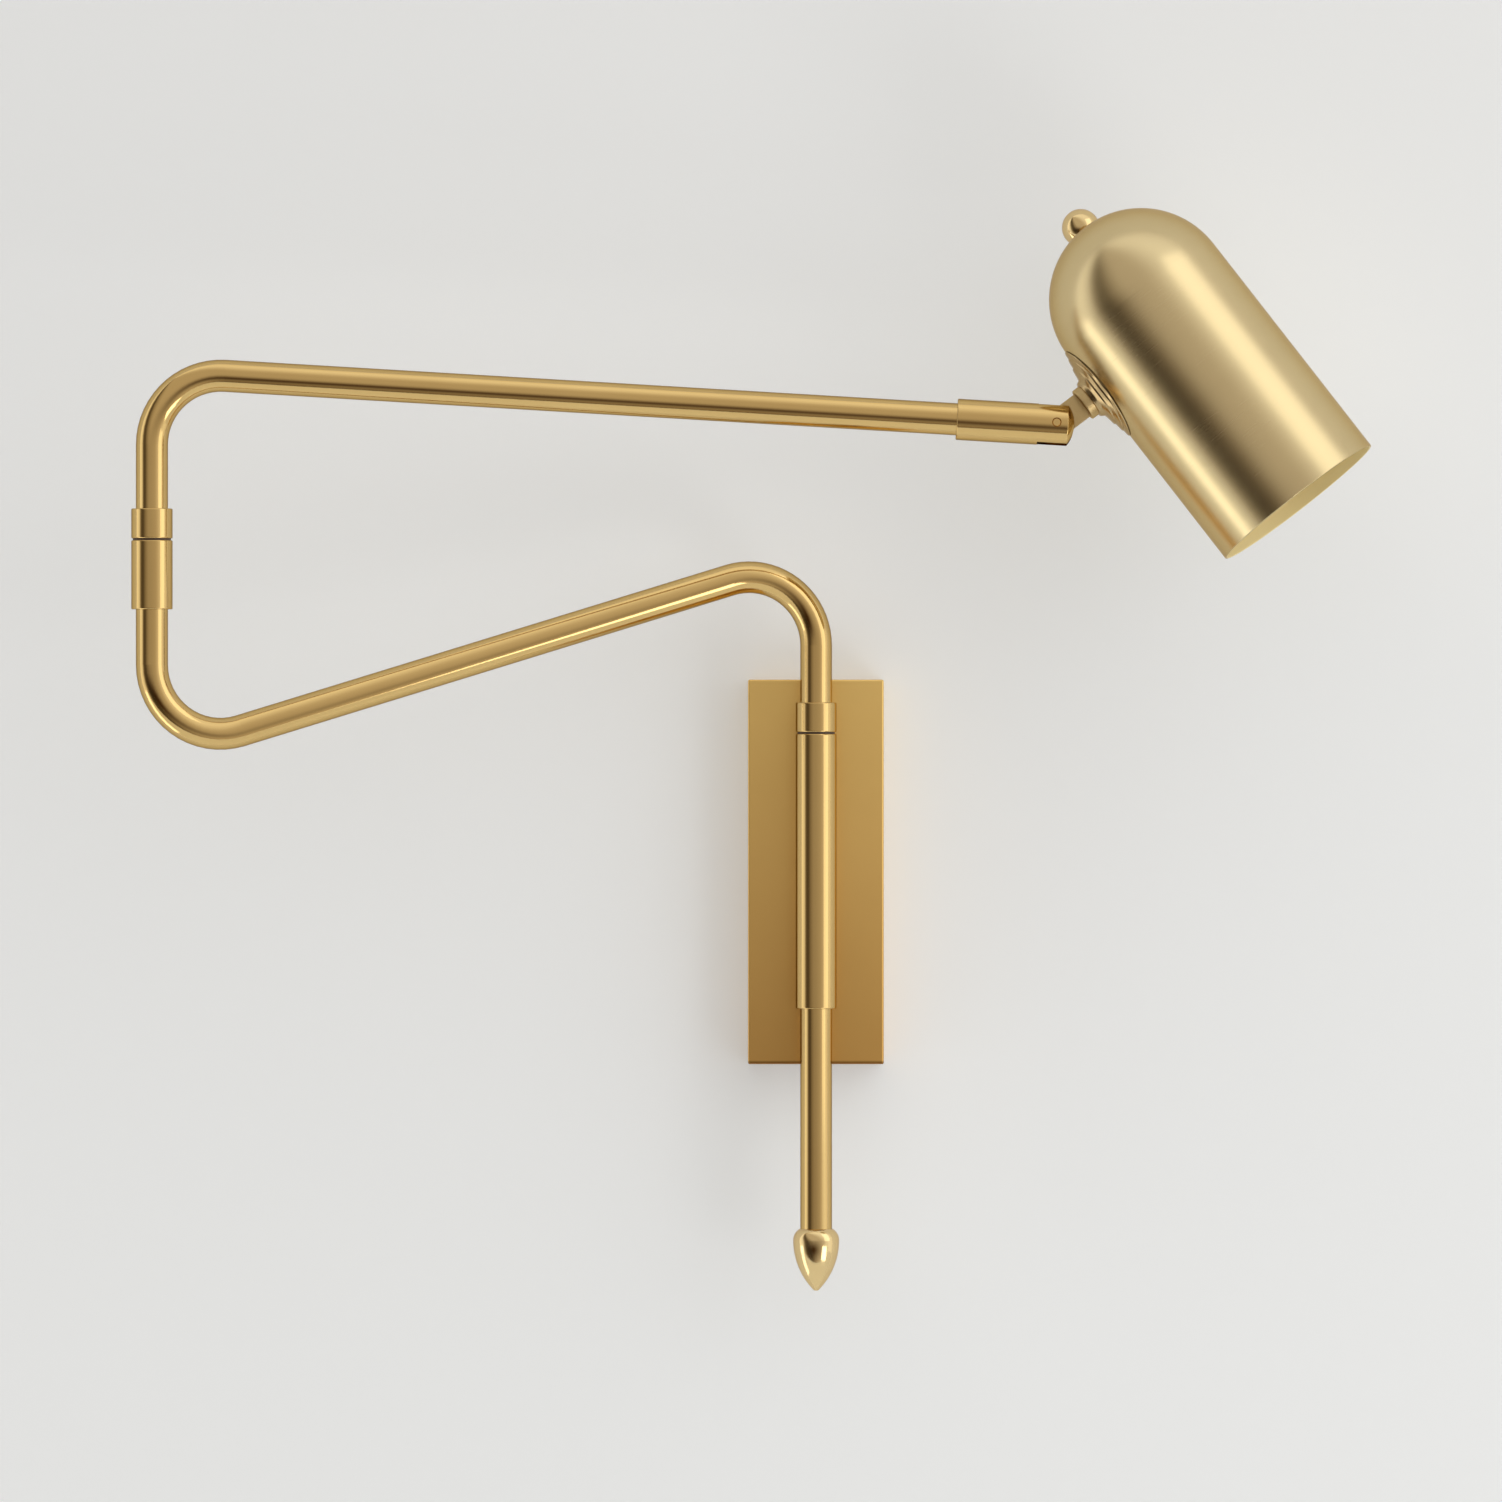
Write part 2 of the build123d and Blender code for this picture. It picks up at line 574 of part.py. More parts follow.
def head_spigot():
    """A hollow pivot in the upper tube's end, with a journal and groove for the ferrule to turn on."""
    groove = JOURNAL_END - JOURNAL_LENGTH / 2
    spigot = rod(TUBE_BORE - FIXED, -TUBE_TO_PIN - SPIGOT_SHANK, -TUBE_TO_PIN)
    spigot += rod(TUBE_RADIUS, -TUBE_TO_PIN, JOURNAL_END)
    groove_floor = TUBE_RADIUS - GROOVE_DEPTH
    spigot -= pipe(SLEEVE_RADIUS, groove_floor, groove - GROOVE_WIDTH / 2, groove + GROOVE_WIDTH / 2)
    return ARM * (spigot - rod(LEAD_BORE, -TUBE_TO_PIN - SPIGOT_SHANK, JOURNAL_END))


def upper_lead():
    return swept(upper_route(SPIGOT_TOP + FREE, JOURNAL_END), LEAD_RADIUS)


# Fork at the upper arm's end


def ferrule():
    """A turned ferrule: bored for the arm at one end, with a rounded and slotted nose at the other."""
    nose_edge = FERRULE_NOSE - FERRULE_NOSE_ROUND
    side = Polyline((0, -FERRULE_TAIL), (FERRULE_RADIUS, -FERRULE_TAIL), (FERRULE_RADIUS, nose_edge))
    nose = TangentArc((0, FERRULE_NOSE), (FERRULE_RADIUS, nose_edge), tangent=(1, 0))
    axis = Line((0, FERRULE_NOSE), (0, -FERRULE_TAIL))
    body = turned(side, nose, axis)
    rims = body.faces().filter_by(GeomType.CYLINDER)[0].edges().filter_by(GeomType.CIRCLE)
    body = fillet(rims, FERRULE_SOFT)
    body -= rod(TUBE_RADIUS + RUNNING, -FERRULE_TAIL, FERRULE_BORE_END)
    body -= rod(FERRULE_CABLE_HOLE / 2, FERRULE_BORE_END, 0)
    slot_length = FORK_DEPTH + FERRULE_NOSE
    slot = Box(FERRULE_DIAMETER, FORK_SLOT, slot_length, align=(Align.CENTER, Align.CENTER, Align.MIN))
    body -= Pos(0, 0, -FORK_DEPTH) * slot
    body -= cross_rod(PIN_RADIUS + FIXED, FERRULE_DIAMETER)
    body -= spoke(GRUB_RADIUS, 0, FERRULE_DIAMETER, TO_WALL, JOURNAL_END - JOURNAL_LENGTH / 2)
    return FORK * body


def ferrule_screw():
    tip = TUBE_RADIUS - GROOVE_DEPTH + FREE
    return FORK * grub_screw(tip, FERRULE_RADIUS - GRUB_RECESS, TO_WALL, JOURNAL_END - JOURNAL_LENGTH / 2)


def hinge_pin():
    pin = cross_rod(PIN_RADIUS, PIN_LENGTH / 2)
    return FORK * chamfer(pin.edges().filter_by(GeomType.CIRCLE), PIN_SOFT)


def hinge_washers():
    inner_face = FORK_SLOT / 2 - HINGE_WASHER_THICKNESS
    washer = pipe(HINGE_WASHER / 2, PIN_RADIUS + RUNNING, inner_face, FORK_SLOT / 2)
    return Compound([FORK * Rot(90, 0, 0) * washer, FORK * Rot(-90, 0, 0) * washer])


# Head


def knuckle():
    """A tongue with a pin eye, on a round boss with a hollow stud that goes through the shade's side."""
    eye = cross_rod(TONGUE_WIDTH / 2, TONGUE_THICKNESS / 2)
    blade = Box(TONGUE_WIDTH, TONGUE_THICKNESS, BOSS_BOTTOM, align=(Align.CENTER, Align.CENTER, Align.MIN))
    boss = rod(BOSS_DIAMETER / 2, BOSS_BOTTOM, DISH_TOP)
    boss = fillet(boss.edges().group_by(Axis.Z)[0], BOSS_SOFT)
    body = eye + blade + boss + rod(STUD_RADIUS, DISH_TOP, STUD_END)
    body -= cross_rod(PIN_RADIUS + RUNNING, TONGUE_THICKNESS)
    body -= rod(KNUCKLE_BORE / 2, BOSS_BOTTOM + BOSS_SOFT, STUD_END)
    body -= spoke(KNUCKLE_SIDE_HOLE / 2, 0, BOSS_DIAMETER, TO_WALL, (BOSS_BOTTOM + DISH_TOP) / 2)
    return KNUCKLE * body


def dish_form(inset, crown_height, crown_radius):
    """An oval rim, inset all round, that runs straight to a round crown."""
    rim = Pos(0, 0, DISH_RIM) * Ellipse(DISH_LENGTH / 2 - inset, DISH_WIDTH / 2 - inset)
    crown = Pos(0, 0, crown_height) * Circle(crown_radius)
    return loft([crown, rim], ruled=True)


def pivot_dish():
    """A shallow oval dish, long along the shade, with a flat round crown that the knuckle's boss stands on."""
    outside = dish_form(0, DISH_TOP, DISH_FLAT / 2)
    outside = fillet(outside.edges().group_by(Axis.Z)[0], DISH_SOFT)
    inside = dish_form(DISH_LIP, DISH_TOP + DISH_WALL, DISH_FLAT / 2 - DISH_WALL / 2)
    return KNUCKLE * (outside - inside - rod(STUD_RADIUS + FIXED, DISH_TOP, DISH_RIM))


def shade_bar(radius):
    """A long bar along the shade's axis, in the knuckle's frame."""
    bar = Rot(0, 90, 0) * rod(radius, -SHADE_DIAMETER, SHADE_DIAMETER)
    return Pos(0, 0, PIVOT_REACH + SHADE_RADIUS) * bar


def dish_saddle():
    saddle = rod(SADDLE_DIAMETER / 2, DISH_TOP + DISH_WALL, PIVOT_REACH + SHADE_RADIUS)
    saddle -= rod(STUD_RADIUS + FIXED, DISH_TOP, STUD_END)
    return KNUCKLE * (saddle - shade_bar(SHADE_RADIUS + FIXED))


def inner_saddle():
    saddle = rod(INNER_SADDLE_DIAMETER / 2, PIVOT_REACH, SADDLE_FACE)
    saddle -= rod(STUD_RADIUS + FIXED, DISH_TOP, STUD_END)
    return KNUCKLE * (saddle & shade_bar(SHADE_INSIDE - FIXED))


def pivot_nut():
    high = PIVOT_NUT_FACE + PIVOT_NUT_HEIGHT
    nut = hexagon(PIVOT_NUT_ACROSS, PIVOT_NUT_FACE, high)
    return KNUCKLE * (nut - rod(STUD_RADIUS + FIXED, PIVOT_NUT_FACE, high))


def shade():
    """A spun shell: a round dome that runs into a straight skirt, pierced for the pivot and the switch."""
    dome = TangentArc((0, SHADE_RADIUS), (SHADE_RADIUS, 0), tangent=(1, 0))
    skirt = Polyline(
        (SHADE_RADIUS, 0),
        (SHADE_RADIUS, -SHADE_STRAIGHT),
        (SHADE_INSIDE, -SHADE_STRAIGHT),
        (SHADE_INSIDE, 0),
    )
    inside = TangentArc((0, SHADE_INSIDE), (SHADE_INSIDE, 0), tangent=(1, 0))
    apex = Line((0, SHADE_INSIDE), (0, SHADE_RADIUS))
    shell = turned(dome, skirt, inside, apex)
    rims = shell.edges().filter_by(GeomType.CIRCLE).group_by(Axis.Z)[0]
    shell = fillet(rims, RIM_SOFT)
    shell -= spoke(STUD_RADIUS + FIXED, 0, SHADE_DIAMETER, TO_LEFT, -PIVOT_OFFSET)
    shell -= SWITCH_TURN * rod(SWITCH_BUSH_DIAMETER / 2 + FIXED, 0, SHADE_DIAMETER)
    return SHADE * shell


def holder_strap():
    """A bent strap from the pivot stud to the top of the lampholder."""
    face = PIVOT_REACH + SHADE_RADIUS - SADDLE_FACE
    low = -PIVOT_OFFSET - STRAP_WIDTH / 2
    outline = Polyline(
        (-face, low),
        (STRAP_THICKNESS - face, low),
        (STRAP_THICKNESS - face, HOLDER_TOP),
        (STRAP_END, HOLDER_TOP),
        (STRAP_END, STRAP_TOP),
        (-face, STRAP_TOP),
        close=True,
    )
    section = make_face(outline)
    corner = section.vertices().sort_by_distance((-face, STRAP_TOP))[0]
    section = fillet(corner, STRAP_BEND + STRAP_THICKNESS)
    inner_corner = section.vertices().sort_by_distance((STRAP_THICKNESS - face, HOLDER_TOP))[0]
    section = fillet(inner_corner, STRAP_BEND)
    strap = extrude(Plane.XZ * section, amount=STRAP_WIDTH / 2, both=True)
    strap -= spoke(STUD_RADIUS + FIXED, 0, SHADE_DIAMETER, TO_LEFT, -PIVOT_OFFSET)
    strap -= rod(NIPPLE_DIAMETER / 2 + FIXED, 0, SHADE_RADIUS)
    return SHADE * strap


def lampholder():
    """A small screw-bulb holder with a domed cap, a stepped skirt and a deep socket."""
    radius = HOLDER_DIAMETER / 2
    cap = HOLDER_CAP_DIAMETER / 2
    skirt = radius - HOLDER_SKIRT_STEP
    socket = BULB_CAP_DIAMETER / 2 + FREE
    nipple = NIPPLE_DIAMETER / 2 + FIXED
    wire = HOLDER_WIRE_HOLE / 2
    nipple_floor = HOLDER_TOP - NIPPLE_DEPTH
    outside = Polyline(
        (radius, HOLDER_TOP - HOLDER_CAP_HEIGHT),
        (radius, HOLDER_BOTTOM + HOLDER_SKIRT),
        (skirt, HOLDER_BOTTOM + HOLDER_SKIRT),
        (skirt, HOLDER_BOTTOM),
        (socket, HOLDER_BOTTOM),
        (socket, SOCKET_FLOOR),
        (wire, SOCKET_FLOOR),
        (wire, nipple_floor),
        (nipple, nipple_floor),
        (nipple, HOLDER_TOP),
        (cap, HOLDER_TOP),
    )
    shoulder = TangentArc((radius, HOLDER_TOP - HOLDER_CAP_HEIGHT), (cap, HOLDER_TOP), tangent=(0, 1))
    return SHADE * turned(outside, shoulder)


def holder_nipple():
    low = HOLDER_TOP - NIPPLE_DEPTH
    high = STRAP_TOP + HOLDER_NUT_HEIGHT + STUD_PROUD
    return SHADE * pipe(NIPPLE_DIAMETER / 2, NIPPLE_DIAMETER / 2 - NIPPLE_WALL, low, high)


def holder_nut():
    high = STRAP_TOP + HOLDER_NUT_HEIGHT
    nut = hexagon(HOLDER_NUT_ACROSS, STRAP_TOP, high)
    return SHADE * (nut - rod(NIPPLE_DIAMETER / 2 + FIXED, STRAP_TOP, high))


def bulb_cap():
    contact_low = SOCKET_FLOOR - BULB_CONTACT_HEIGHT
    cap = rod(BULB_CAP_DIAMETER / 2, BULB_CAP_BOTTOM, contact_low)
    contact = rod(BULB_CONTACT_DIAMETER / 2, contact_low, SOCKET_FLOOR)
    return SHADE * (cap + contact)


def bulb_outline(inset):
    """Half of the bulb's outline as a solid: a cone from the neck that runs tangent into the globe."""
    neck = BULB_NECK_DIAMETER / 2 - inset
    globe = BULB_GLOBE_DIAMETER / 2 - inset
    rise = BULB_CENTRE_DEPTH + BULB_CAP_BOTTOM
    bearing = atan2(rise, neck) - acos(globe / sqrt(rise**2 + neck**2))
    touch = (globe * cos(bearing), globe * sin(bearing) - BULB_CENTRE_DEPTH)
    end = (0, -BULB_CENTRE_DEPTH - globe)
    cone = Line((neck, BULB_CAP_BOTTOM), touch)
    ball = TangentArc(end, touch, tangent=(1, 0))
    axis = Polyline(end, (0, BULB_CAP_BOTTOM), (neck, BULB_CAP_BOTTOM))
    return turned(cone, ball, axis)


def bulb_glass():
    return SHADE * (bulb_outline(0) - bulb_outline(BULB_WALL))


def switch_body():
    bore = SPINDLE_DIAMETER / 2 + RUNNING
    body = rod(SWITCH_DIAMETER / 2, SWITCH_FACE - SWITCH_LENGTH, SWITCH_FACE)
    body += rod(SWITCH_BUSH_DIAMETER / 2, SWITCH_FACE, SWITCH_NUT_TOP)
    return SWITCH * (body - rod(bore, SPINDLE_BOTTOM - FREE, SWITCH_NUT_TOP))


def switch_nut():
    nut = pipe(SWITCH_NUT_DIAMETER / 2, SWITCH_BUSH_DIAMETER / 2 + FIXED, SHADE_INSIDE, SWITCH_NUT_TOP)
    top = nut.edges().filter_by(GeomType.CIRCLE).group_by(Axis.Z)[-1]
    nut = chamfer(top.group_by(SortBy.RADIUS)[-1], SWITCH_NUT_HEIGHT / 4)
    return SWITCH * (nut - Sphere(SHADE_RADIUS + FIXED))


def switch_knob():
    ball = Pos(0, 0, KNOB_CENTRE) * Sphere(KNOB_DIAMETER / 2)
    neck = rod(KNOB_NECK_DIAMETER / 2, KNOB_FOOT, KNOB_CENTRE)
    return SWITCH * (ball + neck - rod(SPINDLE_DIAMETER / 2 + FIXED, KNOB_FOOT, SPINDLE_TOP + FREE))


def switch_spindle():
    return SWITCH * rod(SPINDLE_DIAMETER / 2, SPINDLE_BOTTOM, SPINDLE_TOP)


PIECES = (
    wall_plate,
    box_cover,
    cover_screws,
    backing_plate,
    upper_post,
    lower_post,
    post_washers,
    post_nuts,
    swivel_sleeve,
    shoulder_washer,
    terminal_block,
    earth_screw,
    lower_arm_tube,
    stem_collar,
    collar_screw,
    finial,
    elbow_sleeve,
    elbow_washer,
    elbow_spigot,
    lower_lead,
    upper_arm_tube,
    elbow_ring,
    elbow_screw,
    head_spigot,
    upper_lead,
    ferrule,
    ferrule_screw,
    hinge_pin,
    hinge_washers,
    knuckle,
    pivot_dish,
    dish_saddle,
    inner_saddle,
    pivot_nut,
    shade,
    holder_strap,
    lampholder,
    holder_nipple,
    holder_nut,
    bulb_cap,
    bulb_glass,
    switch_body,
    switch_nut,
    switch_knob,
    switch_spindle,
)

os.makedirs("parts", exist_ok=True)
for piece in PIECES:
    export_step(piece(), f"parts/{piece.__name__}.step")
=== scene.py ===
import bpy
import json
from math import pi, radians, sqrt
from mathutils import Euler, Matrix, Vector


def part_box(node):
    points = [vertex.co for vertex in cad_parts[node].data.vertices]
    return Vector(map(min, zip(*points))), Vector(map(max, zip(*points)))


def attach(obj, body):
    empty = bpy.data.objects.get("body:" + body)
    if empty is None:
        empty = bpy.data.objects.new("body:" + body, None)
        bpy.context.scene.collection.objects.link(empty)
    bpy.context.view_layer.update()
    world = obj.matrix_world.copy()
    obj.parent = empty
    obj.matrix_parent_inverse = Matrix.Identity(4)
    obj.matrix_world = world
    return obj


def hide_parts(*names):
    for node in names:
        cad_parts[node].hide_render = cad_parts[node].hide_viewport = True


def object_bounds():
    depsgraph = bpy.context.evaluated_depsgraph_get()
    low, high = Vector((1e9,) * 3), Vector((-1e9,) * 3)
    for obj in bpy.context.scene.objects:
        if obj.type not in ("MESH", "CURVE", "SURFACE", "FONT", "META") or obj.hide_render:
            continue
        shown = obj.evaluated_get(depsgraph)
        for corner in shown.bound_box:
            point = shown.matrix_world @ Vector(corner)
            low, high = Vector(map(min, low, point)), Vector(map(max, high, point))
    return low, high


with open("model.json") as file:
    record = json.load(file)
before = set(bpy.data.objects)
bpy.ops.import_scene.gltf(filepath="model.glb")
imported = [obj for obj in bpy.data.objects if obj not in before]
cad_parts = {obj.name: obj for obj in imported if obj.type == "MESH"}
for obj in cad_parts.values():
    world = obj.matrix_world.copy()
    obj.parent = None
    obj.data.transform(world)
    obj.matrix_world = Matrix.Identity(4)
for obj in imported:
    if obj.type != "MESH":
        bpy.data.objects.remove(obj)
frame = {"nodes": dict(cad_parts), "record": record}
cad_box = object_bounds()
nodes = frame["nodes"]

# Lengths are in metres.

# Brass tones, and the tones that brass turns to at a glancing angle; the tubes' dark glancing tone is painted shade
# along their outlines
SHADE_BRASS = (0.72, 0.575, 0.315)
LINING_BRASS = (0.98, 0.84, 0.46)
LINING_DEEP = (0.95, 0.79, 0.41)
TUBE_BRASS = (0.74, 0.515, 0.20)
BOX_BRASS = (0.98, 0.69, 0.245)
POLISHED_BRASS = (0.82, 0.62, 0.30)
CAST_BRASS = (0.70, 0.54, 0.28)
DISH_BRASS = (0.50, 0.365, 0.18)
GLANCING = (0.70, 0.58, 0.42)
# Painted shade: a glancing tone far darker than the tubes' brass, to darken their outlines
TUBE_OUTLINE_SHADE = (0.30, 0.21, 0.10)

# Tones of what isn't brass
WHITE = (1.0, 1.0, 1.0)
ZINC_PLATE = (0.58, 0.585, 0.59)
BLACKENED_STEEL = (0.12, 0.10, 0.08)
NICKEL_PLATE = (0.70, 0.685, 0.65)
WASHER_BROWN = (0.075, 0.047, 0.025)
TERMINAL_WHITE = (0.78, 0.77, 0.73)
MOULDED_BLACK = (0.028, 0.028, 0.029)
SHEATH_BLACK = (0.055, 0.05, 0.045)
OPAL_WHITE = (0.93, 0.92, 0.88)
OPAL_DEEP = (0.84, 0.82, 0.77)

# Lacquered metal: its clouds, how fast red, green and blue deepen in them, and the depth of its relief
METAL_CLOUDS = 14.0
DEEPENING = (1.0, 1.25, 1.7)
GRAIN_SHARE = 0.6
RELIEF_DEPTH = 0.0002

# Shade: its dome centre, its turn (its Z runs to the apex), its radius, and the radius inside which it is lined
SHADE_CENTRE = (0.141008, -0.092832, 0.249811)
SHADE_ANGLES = tuple(radians(turn) for turn in (-8.7677, -37.0502, 5.7263))
SHADE_RADIUS = 0.040
LINING_RADIUS = 0.0394

# Shade finish: fine spun rings, slow clouds, and a painted lining that hides most of the metal
RING_STRETCH = 0.02
RING_GRAIN = 3200.0
RING_RELIEF = 0.03
SHADE_CLOUDS = 22.0
SHADE_DEEPEST = 0.88
SHADE_ROUGH = 0.205
RING_ROUGH = 0.06
CLOUD_ROUGH = 0.05
LINING_ROUGH = 0.22
LINING_PAINT = 0.90

# Wall box: painted shade that darkens its tone towards its foot, a dark line of painted shade along its lower fold,
# and a front that bows like folded sheet
# Painted shade: the tone that the box takes on towards its foot
PAINTED_FOOT_SHADE = (0.78, 0.66, 0.55)
# Painted shade: the dark line along the box's lower fold
PAINTED_FOLD_SHADE = (0.34, 0.24, 0.15)
BOX_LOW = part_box("box_cover")[0].z
BOX_HALF = 0.085
FOLD_LINE = 0.0009
FOLD_SOFT = 0.0008
BOW_ACROSS = 0.5
BOW_ALONG = 1.9
BOW_CREST = -0.05

# Moulded plastic
PLASTIC_GRAIN = 1800.0
PLASTIC_CLOUDS = 60.0
PLASTIC_SPREAD = 0.15
PLASTIC_RELIEF = 0.15
FLECK_LIFT = 0.01

# Opal glass
OPAL_GRAIN = 900.0
OPAL_CLOUDS = 25.0
OPAL_SPREAD = 0.12
OPAL_ROUGH = 0.22
OPAL_MILK = 0.4
OPAL_REACH = (0.004, 0.0038, 0.0034)

# Pivot dish, seated on the shade: its rings from the stud hole out to the rim and back inside, in millimetres,
# as half length along the shade, half width and height above the shade's axis
DISH_RINGS = (
    (4.2, 4.2, 45.15), (7.9, 7.9, 45.15), (8.6, 8.6, 44.95), (9.0, 8.9, 44.4), (9.5, 9.2, 43.4), (10.2, 9.5, 43.05),
    (14.6, 10.9, 42.5), (15.0, 11.05, 42.35), (15.2, 11.15, 41.95), (15.7, 11.3, 41.8), (19.0, 12.5, 41.45),
    (19.4, 12.65, 41.3), (19.6, 12.75, 40.95), (20.1, 12.9, 40.85), (22.4, 13.7, 40.7), (22.8, 13.9, 40.55),
    (23.0, 14.0, 40.2), (22.0, 13.1, 40.2), (21.6, 12.8, 40.4), (14.0, 10.2, 41.4), (9.2, 8.8, 42.4), (8.6, 8.5, 43.9),
    (4.2, 4.2, 43.9),
)
DISH_AROUND = 96
DISH_CREASE = 40
PIVOT_BELOW_CENTRE = 0.0213
SEAT_FROM = 0.009
SEAT_OVER = 0.005

# Stage
WALL_TONE = (0.735, 0.752, 0.76)
WALL_GLOW = 0.34
WALL_SIZE = (8.0, 6.0)
WALL_PLACE = (0, 0.0006, 1.6)
FLOOR_GLOW = 0.40
FLOOR_SIZE = (8.0, 1.6)
FLOOR_PLACE = (0, -0.8, -1.4)

# The band of light that wraps the lamp from low left through the lens to high right: its direction,
# and its level at angles from the lens. Dim light keeps these shares of green and blue
BAND_RIGHT = 0.794
BAND_UP = 0.607
BAND_LEVELS = (
    (-180, 0.42), (-118, 0.45), (-100, 0.92), (-86, 1.30), (-66, 1.00), (-58, 0.40), (-50, 0.12), (-37, 0.13),
    (-25, 0.40), (-12, 0.62), (10, 0.62), (20, 0.62), (30, 0.72), (42, 0.92), (60, 1.12), (80, 1.06), (95, 0.85),
    (115, 0.75), (180, 0.58),
)
DIM_GREEN = 0.80
DIM_BLUE = 0.56

# The dark patch just below the lens and to its left, as angles from the lens
DARK_ASIDE = -14
DARK_HEIGHT = -17
DARK_WIDE = 38
DARK_TALL = 15
DARK_TONE = (0.10, 0.05, 0.012)

# Softboxes: name, place, what they aim at, size and power
SOFTBOXES = (
    ("key_softbox", (1.15, -0.80, 0.62), (0.02, 0, 0.08), (0.8, 1.7), 2.4),
    ("low_softbox", (-1.18, -0.30, -0.80), (0, -0.05, 0.1), (0.40, 1.0), 1.7),
    ("mouth_softbox", (0.95, -1.05, -0.70), (0.2, -0.09, 0.16), (0.6, 0.6), 2.8),
)

# Camera: its distance, its sensor, and the share of the frame's width that the lamp fills
CAMERA_DISTANCE = 4.5
SENSOR_WIDTH = 36
FILL = 0.82


# Node helpers


def node(tree, kind, **values):
    """Adds a node, with its settings and the values of its unlinked inputs."""
    made = tree.nodes.new(kind)
    for key, value in values.items():
        if key in made.bl_rna.properties:
            setattr(made, key, value)
        else:
            made.inputs[key.replace("_", " ")].default_value = value
    return made


def figure(tree, operation, first, second=None, third=None, clamp=False):
    """A Math node on links or numbers; returns its output."""
    made = node(tree, "ShaderNodeMath", operation=operation, use_clamp=clamp)
    for socket, value in zip(made.inputs, (first, second, third)):
        if isinstance(value, (int, float)):
            socket.default_value = value
        elif value is not None:
            tree.links.new(value, socket)
    return made.outputs[0]


def mix_colour(tree, amount, first, second, blend="MIX"):
    """A colour between two, or one blended over the other, by a link or number; returns its output."""
    made = node(tree, "ShaderNodeMix", data_type="RGBA", blend_type=blend)
    for socket, value in zip((made.inputs[0], made.inputs[6], made.inputs[7]), (amount, first, second)):
        if isinstance(value, bpy.types.NodeSocket):
            tree.links.new(value, socket)
        elif isinstance(value, tuple):
            socket.default_value = (*value, 1)
        else:
            socket.default_value = value
    return made.outputs[2]


def split(tree, vector):
    """The X, Y and Z of a vector."""
    made = node(tree, "ShaderNodeSeparateXYZ")
    tree.links.new(vector, made.inputs[0])
    return made.outputs


def metal_surface_group():
    """Fine grain along the Z of the vector it is given, and slow clouds as on handled, lacquered metal."""
    group = bpy.data.node_groups.new("metal_surface", "ShaderNodeTree")
    for name, kind in (("Vector", "NodeSocketVector"), ("Grain Scale", "NodeSocketFloat"),
                       ("Grain Stretch", "NodeSocketFloat"), ("Cloud Scale", "NodeSocketFloat")):
        group.interface.new_socket(name=name, in_out="INPUT", socket_type=kind)
    for name in ("Grain", "Cloud"):
        group.interface.new_socket(name=name, in_out="OUTPUT", socket_type="NodeSocketFloat")
    entry = node(group, "NodeGroupInput")
    exit_node = node(group, "NodeGroupOutput")
    across, deep, along = split(group, entry.outputs["Vector"])
    stretched = node(group, "ShaderNodeCombineXYZ")
    group.links.new(across, stretched.inputs[0])
    group.links.new(deep, stretched.inputs[1])
    group.links.new(figure(group, "DIVIDE", along, entry.outputs["Grain Stretch"]), stretched.inputs[2])
    grain = node(group, "ShaderNodeTexNoise", Detail=3.0, Roughness=0.6)
    group.links.new(stretched.outputs[0], grain.inputs["Vector"])
    group.links.new(entry.outputs["Grain Scale"], grain.inputs["Scale"])
    cloud = node(group, "ShaderNodeTexNoise", Detail=4.0, Roughness=0.55)
    group.links.new(entry.outputs["Vector"], cloud.inputs["Vector"])
    group.links.new(entry.outputs["Cloud Scale"], cloud.inputs["Scale"])
    group.links.new(grain.outputs["Fac"], exit_node.inputs["Grain"])
    group.links.new(cloud.outputs["Fac"], exit_node.inputs["Cloud"])
    return group


METAL_SURFACE = metal_surface_group()


def new_material(name):
    """A new material with its tree and its Principled shader."""
    made = bpy.data.materials.new(name)
    made.use_nodes = True
    tree = made.node_tree
    return made, tree, tree.nodes["Principled BSDF"]


def placed_vector(tree, turn=(0, 0, 0), centre=(0, 0, 0)):
    """Object coordinates, moved to a centre and turned so that their Z runs along a grain."""
    coordinates = node(tree, "ShaderNodeTexCoord")
    shift = node(tree, "ShaderNodeMapping", vector_type="TEXTURE")
    shift.inputs["Location"].default_value = centre
    shift.inputs["Rotation"].default_value = turn
    tree.links.new(coordinates.outputs["Object"], shift.inputs["Vector"])
    return shift.outputs["Vector"]


def surface(tree, vector, grain_scale, grain_stretch, cloud_scale):
    """The metal surface group on a vector; returns its grain and its clouds."""
    made = node(tree, "ShaderNodeGroup", node_tree=METAL_SURFACE)
    made.inputs["Grain Scale"].default_value = grain_scale
    made.inputs["Grain Stretch"].default_value = grain_stretch
    made.inputs["Cloud Scale"].default_value = cloud_scale
    tree.links.new(vector, made.inputs["Vector"])
    return made.outputs["Grain"], made.outputs["Cloud"]


def emboss(tree, shader, grain, strength):
    """A trace of relief from a grain; returns its node."""
    relief = node(tree, "ShaderNodeBump", Strength=strength, Distance=RELIEF_DEPTH)
    tree.links.new(grain, relief.inputs["Height"])
    tree.links.new(relief.outputs["Normal"], shader.inputs["Normal"])
    return relief


# Finishes


